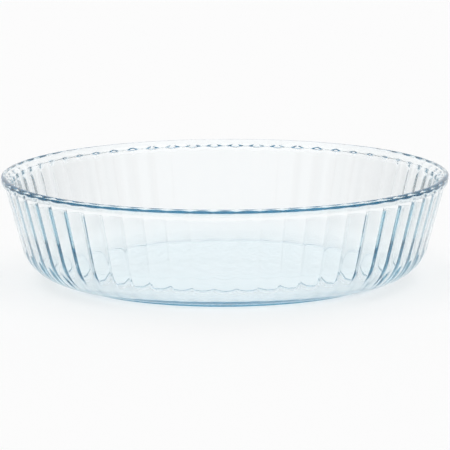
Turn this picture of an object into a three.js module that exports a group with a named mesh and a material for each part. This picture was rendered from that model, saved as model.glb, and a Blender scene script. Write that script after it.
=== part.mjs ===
// Round fluted glass baking dish, in millimetres, standing on z = 0 with +Z up.
// It is one pressing of clear glass. Its zones are split on flat level planes, where they touch face to face:
// foot plate, floor plate, rounded heel ring, fluted wall and smooth rim bead.
import * as THREE from "three";

// Overall size
const RIM_DIAMETER = 260;
const DISH_HEIGHT = 62;

// Smooth rim bead
const RIM_HEIGHT = 4.5;
const RIM_OVERHANG = 1.75;
const RIM_CROWN_WIDTH = 1.9;
const RIM_CROWN_HEIGHT = 1.2;
const RIM_LIP_WIDTH = 0.6;
const RIM_BEVEL_DROP = 2.9;

// Fluted wall
const WALL_LEAN_DEGREES = 15.2;
const WALL_THICKNESS = 5.3;
const WALL_START_HEIGHT = 29;
const RIB_COUNT = 60;
const RIB_FULL_HEIGHT = 17;
const GROOVE_DEPTH = 0.6;
const GROOVE_SHARE = 0.63;
const GROOVE_SHARPNESS = 1.7;
const RIB_SWELL = 0.95;
const SWELL_RUN_OUT = 3;

// Floor and rounded heel
const HEEL_ROUND = 24.3;
const INNER_HEEL_ROUND = 21;
const FLOOR_THICKNESS = 5.7;

// Foot plate
const FOOT_DIAMETER = 182;
const FOOT_HEIGHT = 2.3;
const FOOT_EDGE_ROUND = 1;

// Glass, seen at an angle against white
const GLASS_COLOUR = 0xdceaf0;
const GLASS_ROUGHNESS = 0.04;

// Fineness of the curved faces
const STEPS_PER_RIB = 6;
const SMOOTH_STEPS = 120;
const LOWER_HEEL_STEPS = 4;
const UPPER_HEEL_STEPS = 4;
const INNER_HEEL_STEPS = 6;
const RIM_ROUND_STEPS = 4;
const FOOT_ROUND_STEPS = 2;

const rimRadius = RIM_DIAMETER / 2;
const rimSeat = DISH_HEIGHT - RIM_HEIGHT;
const floorLevel = FOOT_HEIGHT + FLOOR_THICKNESS;
const lean = THREE.MathUtils.degToRad(WALL_LEAN_DEGREES);
const quarterTurn = Math.PI / 2;

// Radius of the ribs' flat backs on the outside of the leaning wall, at a height.
function outerFace(height) {
  return rimRadius - RIM_OVERHANG - (rimSeat - height) * Math.tan(lean);
}

// Radius of the inside of the wall behind the middle of a rib, one wall thickness in from the ribs' backs.
function innerFace(height) {
  return outerFace(height) - WALL_THICKNESS / Math.cos(lean);
}

// A point of an outline, given by its radius from the axis and its height.
function at(radius, height) {
  return new THREE.Vector2(radius, height);
}

// Points of an outline on a round of a width and a height, from one angle to another.
function round(centre, width, height, fromAngle, toAngle, steps) {
  const points = [];
  for (let i = 0; i <= steps; i += 1) {
    const angle = fromAngle + ((toAngle - fromAngle) * i) / steps;
    points.push(at(centre.x + width * Math.cos(angle), centre.y + height * Math.sin(angle)));
  }
  return points;
}

// Centre of a heel curve that is tangent to a level face below it and to a leaning wall face above it.
function heelCentre(wallRadius, bottom, heelRound) {
  const height = bottom + heelRound;
  const radius = wallRadius(height) - heelRound / Math.cos(lean);
  return at(radius, height);
}

// Share of the full rib shape at a height: none at the floor and below, all of it on the wall.
function ribShare(height) {
  return THREE.MathUtils.smoothstep(height, floorLevel, RIB_FULL_HEIGHT);
}

// Way across half a rib, at a turn angle measured from a rib's middle: nought there and one in the groove.
function wayToGroove(turn) {
  const ribs = (turn * RIB_COUNT) / (2 * Math.PI);
  return Math.abs(2 * (ribs - Math.round(ribs)));
}

// How deep the outside lies below the ribs' backs: flat across the rib, then down into a narrow groove.
function grooveInset(turn, height) {
  const side = THREE.MathUtils.clamp(1 - (1 - wayToGroove(turn)) / GROOVE_SHARE, 0, 1);
  return GROOVE_DEPTH * side ** GROOVE_SHARPNESS * ribShare(height);
}

// How far the inside falls back from its face between the ribs, so that each rib is fullest in its middle.
function swellInset(turn, height) {
  const belowRim = 1 - THREE.MathUtils.smoothstep(height, rimSeat - SWELL_RUN_OUT, rimSeat);
  return RIB_SWELL * wayToGroove(turn) ** 2 * ribShare(height) * belowRim;
}

// A body turned about the Z axis from its outline, given as points of radius and height, anticlockwise.
function turned(outline, steps) {
  const body = new THREE.LatheGeometry(outline, steps);
  body.rotateX(quarterTurn);
  return body;
}

// A turned body with grooves pressed into its outside, and its inside falling back behind each groove.
function ribbed(outside, inside) {
  const outline = [...outside, ...inside, outside[0]];
  const body = turned(outline, RIB_COUNT * STEPS_PER_RIB);
  const place = body.getAttribute("position");
  const insideEnd = outside.length + inside.length;
  for (let i = 0; i < place.count; i += 1) {
    const step = i % outline.length;
    const onInside = step >= outside.length && step < insideEnd;
    const turn = Math.atan2(place.getX(i), -place.getY(i));
    const height = place.getZ(i);
    const shift = onInside ? swellInset(turn, height) : -grooveInset(turn, height);
    const radius = Math.hypot(place.getX(i), place.getY(i)) + shift;
    place.setXY(i, radius * Math.sin(turn), -radius * Math.cos(turn));
  }
  return body;
}

// Foot plate: the low flat disc that the dish stands on, with its edge rounded at the table.
function footPlate() {
  const outer = FOOT_DIAMETER / 2;
  const edgeCentre = at(outer - FOOT_EDGE_ROUND, FOOT_EDGE_ROUND);
  const outline = [
    at(0, 0),
    ...round(edgeCentre, FOOT_EDGE_ROUND, FOOT_EDGE_ROUND, -quarterTurn, 0, FOOT_ROUND_STEPS),
    at(outer, FOOT_HEIGHT),
    at(0, FOOT_HEIGHT),
  ];
  return turned(outline, SMOOTH_STEPS);
}

const outerHeel = heelCentre(outerFace, FOOT_HEIGHT, HEEL_ROUND);
const innerHeel = heelCentre(innerFace, floorLevel, INNER_HEEL_ROUND);
const heelSplitAngle = -Math.asin((outerHeel.y - floorLevel) / HEEL_ROUND);

// Floor plate: flat underside, flat floor, and the plain lower part of the heel as its edge.
function floorPlate() {
  const outline = [
    at(0, FOOT_HEIGHT),
    ...round(outerHeel, HEEL_ROUND, HEEL_ROUND, -quarterTurn, heelSplitAngle, LOWER_HEEL_STEPS),
    at(0, floorLevel),
  ];
  return turned(outline, SMOOTH_STEPS);
}

// Heel ring: the rounded upper part of the heel, where the ribs fade in.
function heelRing() {
  const outside = [
    ...round(outerHeel, HEEL_ROUND, HEEL_ROUND, heelSplitAngle, -lean, UPPER_HEEL_STEPS),
    at(outerFace(WALL_START_HEIGHT), WALL_START_HEIGHT),
  ];
  const inside = [
    at(innerFace(WALL_START_HEIGHT), WALL_START_HEIGHT),
    ...round(innerHeel, INNER_HEEL_ROUND, INNER_HEEL_ROUND, -lean, -quarterTurn, INNER_HEEL_STEPS),
  ];
  return ribbed(outside, inside);
}

// Fluted wall: ribs of even shape from the heel ring up, fading on the inside just below the rim bead.
function flutedWall() {
  const outside = [
    at(outerFace(WALL_START_HEIGHT), WALL_START_HEIGHT),
    at(outerFace(rimSeat), rimSeat),
  ];
  const inside = [
    at(innerFace(rimSeat), rimSeat),
    at(innerFace(rimSeat - SWELL_RUN_OUT), rimSeat - SWELL_RUN_OUT),
    at(innerFace(WALL_START_HEIGHT), WALL_START_HEIGHT),
  ];
  return ribbed(outside, inside);
}

// Rim bead: a smooth ring with a flat underside, a rounded lip and crown, and a bevel down to the inside.
function rimBead() {
  const waist = DISH_HEIGHT - RIM_CROWN_HEIGHT;
  const bevelFoot = DISH_HEIGHT - RIM_BEVEL_DROP;
  const lipCentre = at(rimRadius - RIM_LIP_WIDTH, waist);
  const crownCentre = at(rimRadius - RIM_CROWN_WIDTH, waist);
  const outline = [
    ...round(lipCentre, RIM_LIP_WIDTH, waist - rimSeat, -quarterTurn, 0, RIM_ROUND_STEPS),
    ...round(crownCentre, RIM_CROWN_WIDTH, RIM_CROWN_HEIGHT, 0, quarterTurn, RIM_ROUND_STEPS).slice(1),
    at(innerFace(bevelFoot), bevelFoot),
    at(innerFace(rimSeat), rimSeat),
  ];
  return turned([...outline, outline[0]], SMOOTH_STEPS);
}

const dish = new THREE.Group();
dish.name = "fluted_glass_dish";
const zones = {
  foot_plate: footPlate(),
  floor_plate: floorPlate(),
  heel_ring: heelRing(),
  fluted_wall: flutedWall(),
  rim_bead: rimBead(),
};
for (const [name, body] of Object.entries(zones)) {
  const glass = new THREE.MeshStandardMaterial({
    color: GLASS_COLOUR,
    roughness: GLASS_ROUGHNESS,
    metalness: 0,
  });
  const zone = new THREE.Mesh(body, glass);
  zone.name = name;
  dish.add(zone);
}

export default dish;
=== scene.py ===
# Round fluted baking dish of clear glass on a pale studio floor, in metres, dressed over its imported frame.
import math

import bpy
import numpy as np
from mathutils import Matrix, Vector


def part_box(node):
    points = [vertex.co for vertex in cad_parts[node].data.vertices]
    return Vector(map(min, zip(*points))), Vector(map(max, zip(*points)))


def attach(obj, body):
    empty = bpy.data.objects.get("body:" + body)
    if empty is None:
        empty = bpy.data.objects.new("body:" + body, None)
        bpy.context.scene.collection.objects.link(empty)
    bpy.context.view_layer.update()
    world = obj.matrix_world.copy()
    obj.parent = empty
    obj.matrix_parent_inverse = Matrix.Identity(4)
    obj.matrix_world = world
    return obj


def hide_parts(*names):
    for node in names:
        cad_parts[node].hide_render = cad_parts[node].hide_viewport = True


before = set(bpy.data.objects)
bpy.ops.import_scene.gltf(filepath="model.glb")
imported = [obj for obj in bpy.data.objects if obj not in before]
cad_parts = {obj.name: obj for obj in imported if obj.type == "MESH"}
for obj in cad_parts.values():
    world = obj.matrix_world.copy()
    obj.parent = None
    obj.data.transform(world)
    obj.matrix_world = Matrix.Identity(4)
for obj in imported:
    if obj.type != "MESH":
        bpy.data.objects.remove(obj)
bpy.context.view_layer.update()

# The dish: one pressing of clear oven glass, with its foot, floor, heel, fluted wall and rim all of one piece.
# The mould leaves sixty ribs with pointed grooves between, and the plunger a shallow hollow behind each groove.
# Its surface is one closed outline turned about the axis, with the grooves and hollows pressed into it.
foot_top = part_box("foot_plate")[1]
floor_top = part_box("floor_plate")[1]
heel_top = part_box("heel_ring")[1]
wall_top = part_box("fluted_wall")[1]
rim_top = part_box("rim_bead")[1]

foot_edge_round = 0.001
foot_corner_round = 0.00035
heel_round = 0.0243
inner_heel_round = 0.021
wall_thickness = 0.0053
rim_overlap = 0.0005
lip_width = 0.0006
lip_start = -85.0
crown_width = 0.00182
crown_height = 0.00135
shoulder_width = 0.0026
shoulder_height = 0.0076
bevel_lean = math.radians(57.6)
bevel_drop = 0.00268
rib_count = 60
rib_rise = 0.0002
groove_depth = 0.00052
groove_share = 0.72
groove_sharpness = 1.3
groove_run_out = (0.0026, 0.014)
hollow_depth = 0.00108
hollow_run_out = (0.0069, 0.03)
hollow_top_run_out = 0.00326
steps_per_rib = 12
step_closeness = 1.5
flat_margin = 0.0015
foot_points = 5
heel_points = 24
lip_points = 10
crown_points = 16
bevel_steps = 3
neck_steps = 4
wall_steps = 12

lean = math.atan2(wall_top.x - heel_top.x, wall_top.z - heel_top.z)
lean_degrees = math.degrees(lean)
crown_base = rim_top.z - crown_height
lip_height = crown_base - wall_top.z
bevel_foot = rim_top.z - bevel_drop


def outer_face(height):
    """Radius of the ribs' backs: the one at the rim's seat, less the lean's slope times the drop below it."""
    return wall_top.x - (wall_top.z - height) * math.tan(lean)


def inner_face(height):
    """Radius of the inside of the wall: the ribs' backs, one wall thickness further in, square to the wall."""
    return outer_face(height) - wall_thickness / math.cos(lean)


def heel_centre(wall_radius, bottom, heel):
    """Centre of a heel arc that touches a level face below and the leaning wall above: one round above the level
    face, and as far inside the wall line as a round measured square to the wall takes up on the level."""
    height = bottom + heel
    return wall_radius(height) - heel / math.cos(lean), height


def arc(centre, across, up, from_degrees, to_degrees, count):
    """Outline points on an ellipse: the centre plus the half axes times the cosine and sine of an even angle."""
    angle = np.radians(np.linspace(from_degrees, to_degrees, count))
    return np.column_stack((centre[0] + across * np.cos(angle), centre[1] + up * np.sin(angle)))


def straight(start, end, count):
    """Outline points at even steps from start to end, with start left out."""
    return np.linspace(start, end, count + 1)[1:]


def wall_point(wall_radius, height):
    """Outline point on a face of the wall: its radius at a height, and the height."""
    return wall_radius(height), height


# The outline runs from the underside round the foot, up the outside, over the rim and down the inside to the floor.
foot_edge = (foot_top.x - foot_edge_round, foot_edge_round)
foot_corner = (foot_top.x + foot_corner_round, foot_top.z - foot_corner_round)
underside = np.vstack((
    (foot_edge[0] - flat_margin, 0.0),
    arc(foot_edge, foot_edge_round, foot_edge_round, -90, 0, foot_points),
    arc(foot_corner, foot_corner_round, foot_corner_round, 180, 90, foot_points),
))

outer_heel = heel_centre(outer_face, foot_top.z, heel_round)
heel_arc = arc(outer_heel, heel_round, heel_round, -90, -lean_degrees, heel_points)
outer_wall = np.vstack((
    heel_arc,
    straight(heel_arc[-1], wall_point(outer_face, wall_top.z - rim_overlap), wall_steps),
))

bevel_turn = math.atan2(shoulder_height * math.sin(bevel_lean), -shoulder_width * math.cos(bevel_lean))
shoulder_base = rim_top.z - shoulder_height
bevel_top = shoulder_base + shoulder_height * math.sin(bevel_turn)
bevel_start = inner_face(bevel_foot) + (bevel_top - bevel_foot) * math.tan(bevel_lean)
shoulder_centre = (bevel_start - shoulder_width * math.cos(bevel_turn), shoulder_base)
rim = np.vstack((
    arc((rim_top.x - lip_width, crown_base), lip_width, lip_height, lip_start, 0, lip_points),
    arc((rim_top.x - crown_width, crown_base), crown_width, crown_height, 0, 90, crown_points)[1:],
    arc(shoulder_centre, shoulder_width, shoulder_height, 90, math.degrees(bevel_turn), crown_points),
))

inner_heel = heel_centre(inner_face, floor_top.z, inner_heel_round)
inner_heel_arc = arc(inner_heel, inner_heel_round, inner_heel_round, -lean_degrees, -90, heel_points)
neck_foot = wall_point(inner_face, bevel_foot - hollow_top_run_out)
inside = np.vstack((
    straight(rim[-1], wall_point(inner_face, bevel_foot), bevel_steps),
    straight(wall_point(inner_face, bevel_foot), neck_foot, neck_steps),
    straight(neck_foot, inner_heel_arc[0], wall_steps),
    inner_heel_arc[1:],
    (inner_heel[0] - flat_margin, floor_top.z),
))

lengths = [len(part) for part in (underside, outer_wall, rim, inside)]
outline = np.vstack((underside, outer_wall, rim, inside))
on_outside = np.repeat((0.0, 1.0, 0.0, 0.0), lengths)
on_inside = np.repeat((0.0, 0.0, 0.0, 1.0), lengths)


def smooth_rise(values, start, end):
    """Zero below start, one above end, and three squares less two cubes of the way between them."""
    way = np.clip((values - start) / (end - start), 0.0, 1.0)
    return way * way * (3.0 - 2.0 * way)


def rib_steps():
    """Turn angles all round, from a rib's middle: in each half rib the steps shorten towards the groove, as a power
    of the way that is left."""
    half = 1.0 - (1.0 - np.linspace(0.0, 1.0, steps_per_rib // 2 + 1)) ** step_closeness
    one_rib = np.concatenate((half[:-1], 2.0 - half[:0:-1]))
    half_ribs = 2.0 * np.arange(rib_count)[:, None] + one_rib[None, :]
    return half_ribs.ravel() * math.pi / rib_count


def ribbed_radius(turn):
    """Radius of every outline point at every turn. Outside, a rise times the square of the way from the rib's
    middle is added, and the groove's depth times a power of the way down its side comes off. Inside, the hollow's
    depth times the square of the way from the rib's middle is added. Both fade in above the foot, and the hollow
    fades out evenly below the bevel."""
    ribs = turn * rib_count / (2.0 * math.pi)
    way = np.abs(2.0 * (ribs - np.round(ribs)))
    side = np.clip(1.0 - (1.0 - way) / groove_share, 0.0, 1.0)
    height = outline[:, 1]
    outside_share = on_outside * smooth_rise(height, *groove_run_out)
    neck_share = np.clip((bevel_foot - height) / hollow_top_run_out, 0.0, 1.0)
    inside_share = on_inside * smooth_rise(height, *hollow_run_out) * neck_share
    outside_shift = np.outer(outside_share, rib_rise * way**2 - groove_depth * side**groove_sharpness)
    inside_shift = np.outer(inside_share, hollow_depth * way**2)
    return outline[:, :1] + outside_shift + inside_shift


def turned_dish():
    """Carries the outline round the axis: each radius times the sine and cosine of the turn, starting at the front.
    A point on the axis closes the underside and another the floor."""
    turn = rib_steps()
    radius = ribbed_radius(turn)
    height = np.broadcast_to(outline[:, 1:], radius.shape)
    rings = np.stack((radius * np.sin(turn), -radius * np.cos(turn), height), axis=-1)
    ring_count, turn_count = radius.shape
    under_pole = ring_count * turn_count
    floor_pole = under_pole + 1
    poles = [(0.0, 0.0, outline[0, 1]), (0.0, 0.0, outline[-1, 1])]
    points = np.vstack((rings.reshape(-1, 3), poles))
    here = np.arange(turn_count)
    after = np.roll(here, -1)
    up = np.arange(ring_count - 1)[:, None] * turn_count
    quads = np.stack((up + here, up + after, up + turn_count + after, up + turn_count + here), axis=-1)
    last = (ring_count - 1) * turn_count
    under_fan = np.column_stack((np.full(turn_count, under_pole), after, here))
    floor_fan = np.column_stack((last + here, last + after, np.full(turn_count, floor_pole)))
    faces = quads.reshape(-1, 4).tolist() + under_fan.tolist() + floor_fan.tolist()
    mesh = bpy.data.meshes.new("glass_dish")
    mesh.from_pydata(points, [], faces)
    mesh.polygons.foreach_set("use_smooth", np.ones(len(faces), dtype=bool))
    mesh.update()
    return mesh


dish = bpy.data.objects.new("glass_dish", turned_dish())
bpy.context.scene.collection.objects.link(dish)

glass_index = 1.47
glass_tint = (0.0, 0.5, 0.67, 1.0)
glass_tint_density = 9.6
ripple_scale = 45.0
ripple_depth = 0.00008
polish_scale = 160.0
polish_range = (0.0, 0.012)

clear_glass = bpy.data.materials.new("clear_oven_glass")
clear_glass.use_nodes = True
nodes = clear_glass.node_tree.nodes
links = clear_glass.node_tree.links
surface = nodes["Principled BSDF"]
surface.inputs["Base Color"].default_value = (1.0, 1.0, 1.0, 1.0)
surface.inputs["Transmission Weight"].default_value = 1.0
surface.inputs["IOR"].default_value = glass_index
place = nodes.new("ShaderNodeTexCoord")
ripple = nodes.new("ShaderNodeTexNoise")
ripple.inputs["Scale"].default_value = ripple_scale
links.new(place.outputs["Object"], ripple.inputs["Vector"])
relief = nodes.new("ShaderNodeBump")
relief.inputs["Distance"].default_value = ripple_depth
links.new(ripple.outputs[0], relief.inputs["Height"])
links.new(relief.outputs["Normal"], surface.inputs["Normal"])
polish = nodes.new("ShaderNodeTexNoise")
polish.inputs["Scale"].default_value = polish_scale
links.new(place.outputs["Object"], polish.inputs["Vector"])
polish_level = nodes.new("ShaderNodeMapRange")
polish_level.inputs["To Min"].default_value = polish_range[0]
polish_level.inputs["To Max"].default_value = polish_range[1]
links.new(polish.outputs[0], polish_level.inputs["Value"])
links.new(polish_level.outputs["Result"], surface.inputs["Roughness"])
tint = nodes.new("ShaderNodeVolumeAbsorption")
tint.inputs["Color"].default_value = glass_tint
tint.inputs["Density"].default_value = glass_tint_density
links.new(tint.outputs["Volume"], nodes["Material Output"].inputs["Volume"])
dish.data.materials.append(clear_glass)

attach(dish, "root")
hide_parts("foot_plate", "floor_plate", "heel_ring", "fluted_wall", "rim_bead")

# The table: a wide white matt board that the dish stands on, a hair below the foot.
# It runs far out behind and to the sides, so that it is also the whole background.
board_half_width = 6.0
board_gap = 0.0003
board_white = 0.96

corners = board_half_width * np.array([(-1, -1, 0), (1, -1, 0), (1, 1, 0), (-1, 1, 0)], dtype=float)
board_mesh = bpy.data.meshes.new("white_board")
board_mesh.from_pydata(corners - (0.0, 0.0, board_gap), [], [(0, 1, 2, 3)])
white_board = bpy.data.objects.new("white_board", board_mesh)
bpy.context.scene.collection.objects.link(white_board)
board_paint = bpy.data.materials.new("matt_white")
board_paint.use_nodes = True
board_surface = board_paint.node_tree.nodes["Principled BSDF"]
board_surface.inputs["Base Color"].default_value = (board_white, board_white, board_white, 1.0)
board_surface.inputs["Roughness"].default_value = 1.0
board_surface.inputs["Specular IOR Level"].default_value = 0.0
white_board.data.materials.append(board_paint)

# The studio: white walls in front and behind, dark walls at the two sides, and a wide soft light overhead.
# The dark walls draw the edges of clear glass, and the light overhead makes up for them on the board.
dark_wall = 0.03
dark_wall_turn = (0.8, 0.96)
dark_wall_top = (34.0, 44.0)
soft_light = 1.44
soft_light_edge = (50.0, 65.0)

studio = bpy.data.worlds.new("studio")
studio.use_nodes = True
bpy.context.scene.world = studio
sky = studio.node_tree
direction = sky.nodes.new("ShaderNodeSeparateXYZ")
sky.links.new(sky.nodes.new("ShaderNodeTexCoord").outputs["Generated"], direction.inputs[0])


def sky_math(operation, *values):
    """One sum on the sky's values: each may be a number or the output of an earlier node."""
    node = sky.nodes.new("ShaderNodeMath")
    node.operation = operation
    for socket, value in zip(node.inputs, values):
        if isinstance(value, float):
            socket.default_value = value
        else:
            sky.links.new(value, socket)
    return node.outputs[0]


def sky_blend(value, start, end, before, after):
    """A smooth change of level, from before to after, as a value of the sky runs from start to end."""
    node = sky.nodes.new("ShaderNodeMapRange")
    node.interpolation_type = "SMOOTHSTEP"
    for socket, number in zip(node.inputs[1:5], (start, end, before, after)):
        socket.default_value = number
    sky.links.new(value, node.inputs[0])
    return node.outputs[0]


def elevations(degrees):
    """Sines of two elevations: the heights at which a unit direction points that far above the level."""
    return tuple(math.sin(math.radians(angle)) for angle in degrees)


level_x = sky_math("MULTIPLY", direction.outputs["X"], direction.outputs["X"])
level_y = sky_math("MULTIPLY", direction.outputs["Y"], direction.outputs["Y"])
level = sky_math("SQRT", sky_math("ADD", level_x, level_y))
sideways = sky_math("DIVIDE", sky_math("ABSOLUTE", direction.outputs["X"]), level)
side_share = sky_blend(sideways, *dark_wall_turn, 0.0, 1.0)
low_share = sky_blend(direction.outputs["Z"], *elevations(dark_wall_top), 1.0, 0.0)
dark_share = sky_math("MULTIPLY", side_share, low_share)
walls = sky_math("SUBTRACT", 1.0, sky_math("MULTIPLY", dark_share, 1.0 - dark_wall))
overhead = sky_blend(direction.outputs["Z"], *elevations(soft_light_edge), 1.0, soft_light)
sky.links.new(sky_math("MULTIPLY", walls, overhead), sky.nodes["Background"].inputs["Color"])

# The camera: a long lens some way off, a little above the dish, turned a hair clockwise.
# Light that is caught inside the glass is followed for many turns, and glossy light is kept sharp.
camera_distance = 2.6
camera_elevation = math.radians(9.88)
camera_roll = math.radians(-0.25)
aim_height = 0.0312
view_width = 0.262
sensor_width = 36.0
glass_bounces = 64

lens = bpy.data.cameras.new("camera")
lens.sensor_width = sensor_width
lens.lens = sensor_width * camera_distance / view_width
camera = bpy.data.objects.new("camera", lens)
camera.location = (
    0.0,
    -camera_distance * math.cos(camera_elevation),
    aim_height + camera_distance * math.sin(camera_elevation),
)
camera.rotation_mode = "ZXY"
camera.rotation_euler = (math.pi / 2 - camera_elevation, 0.0, camera_roll)
bpy.context.scene.collection.objects.link(camera)
scene = bpy.context.scene
scene.camera = camera
scene.view_settings.view_transform = "Standard"
scene.cycles.blur_glossy = 0.0
scene.cycles.max_bounces = glass_bounces
scene.cycles.glossy_bounces = glass_bounces
scene.cycles.transmission_bounces = glass_bounces
